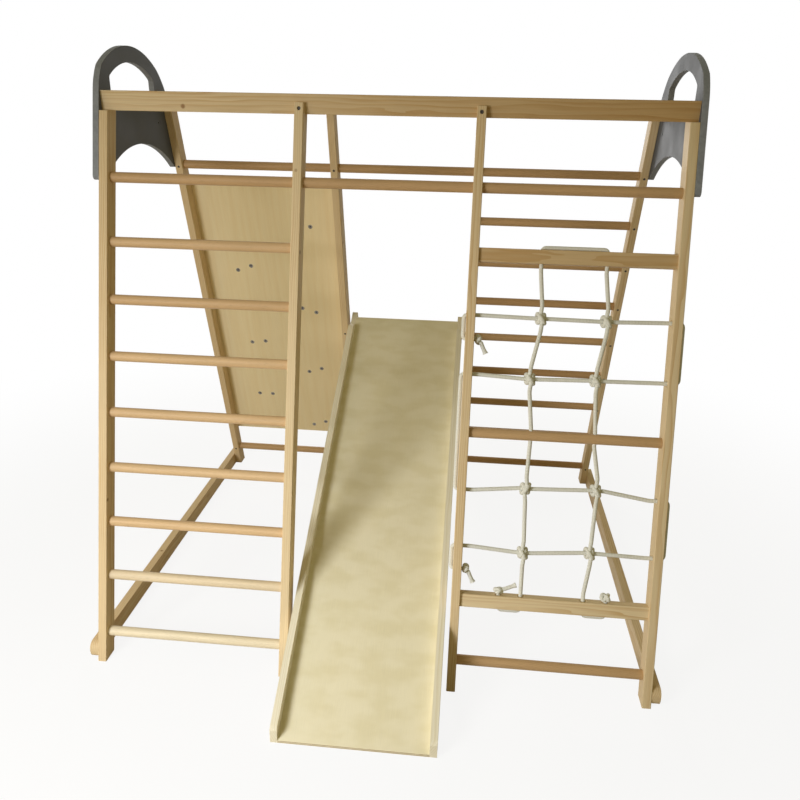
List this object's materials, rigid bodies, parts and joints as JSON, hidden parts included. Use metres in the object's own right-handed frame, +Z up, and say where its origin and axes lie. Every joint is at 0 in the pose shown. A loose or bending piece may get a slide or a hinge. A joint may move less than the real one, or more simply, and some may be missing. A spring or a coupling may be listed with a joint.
{
  "type": "wooden climbing frame",
  "caption": "Wooden climbing frame with ladder, rope net, climbing wall, arched side brackets and a hook-on slide.",
  "frame": {"origin": "floor level under the middle of the whole part, slide included", "axes": "+Z up, +X to the right seen from the front, +Y from the front panel to the rear panel"},
  "size_m": [1.452, 1.432, 1.485],
  "materials": {
    "pine": "satin",
    "beech_rung": "satin",
    "plywood": "satin",
    "grey_paint": "matte",
    "rope": "matte",
    "steel": "satin",
    "hold_plastic": "matte"
  },
  "bodies": {
    "frame": {"front_left_post": "pine", "front_mid_left_post": "pine", "front_mid_right_post": "pine", "front_right_post": "pine", "rear_left_post": "pine", "rear_mid_left_post": "pine", "rear_mid_right_post": "pine", "rear_right_post": "pine", "front_top_bar": "pine", "rear_top_bar": "pine", "front_top_rung": "beech_rung", "rear_top_rung": "beech_rung", "ladder_rung_2": "beech_rung", "ladder_rung_3": "beech_rung", "ladder_rung_4": "beech_rung", "ladder_rung_5": "beech_rung", "ladder_rung_6": "beech_rung", "ladder_rung_7": "beech_rung", "ladder_rung_8": "beech_rung", "ladder_rung_9": "beech_rung", "rear_rung_2": "beech_rung", "rear_rung_3": "beech_rung", "rear_rung_4": "beech_rung", "rear_rung_6": "beech_rung", "rear_rung_7": "beech_rung", "rear_rung_8": "beech_rung", "rear_rung_9": "beech_rung", "slide_crossbar": "beech_rung", "wall_bottom_rung": "beech_rung", "net_top_board": "pine", "net_mid_rung": "beech_rung", "net_bottom_board": "pine", "net_bottom_rung": "beech_rung", "net_row_rope": "rope", "net_column_rope": "rope", "net_knots": "rope", "rope_stoppers": "rope", "climbing_wall": "plywood", "climbing_hold_1": "hold_plastic", "climbing_hold_2": "hold_plastic", "climbing_hold_3": "hold_plastic", "climbing_hold_4": "hold_plastic", "climbing_hold_5": "hold_plastic", "climbing_hold_6": "hold_plastic", "climbing_hold_7": "hold_plastic", "hold_bolts": "steel", "hold_tee_nuts": "steel", "wall_screws": "steel", "rung_screws": "steel", "left_bracket": "grey_paint", "right_bracket": "grey_paint", "left_floor_rail": "pine", "right_floor_rail": "pine", "frame_bolts": "steel"},
    "slide": {"slide_bed": "plywood", "slide_left_rail": "pine", "slide_right_rail": "pine", "slide_screws": "steel"}
  },
  "joints": [
    {"name": "slide_lift", "type": "hinge", "parent": "frame", "child": "slide", "pos_m": [0, 0.48818, 0.62758], "axis": [-1, 0, 0], "range_deg": [0, 55]}
  ]
}
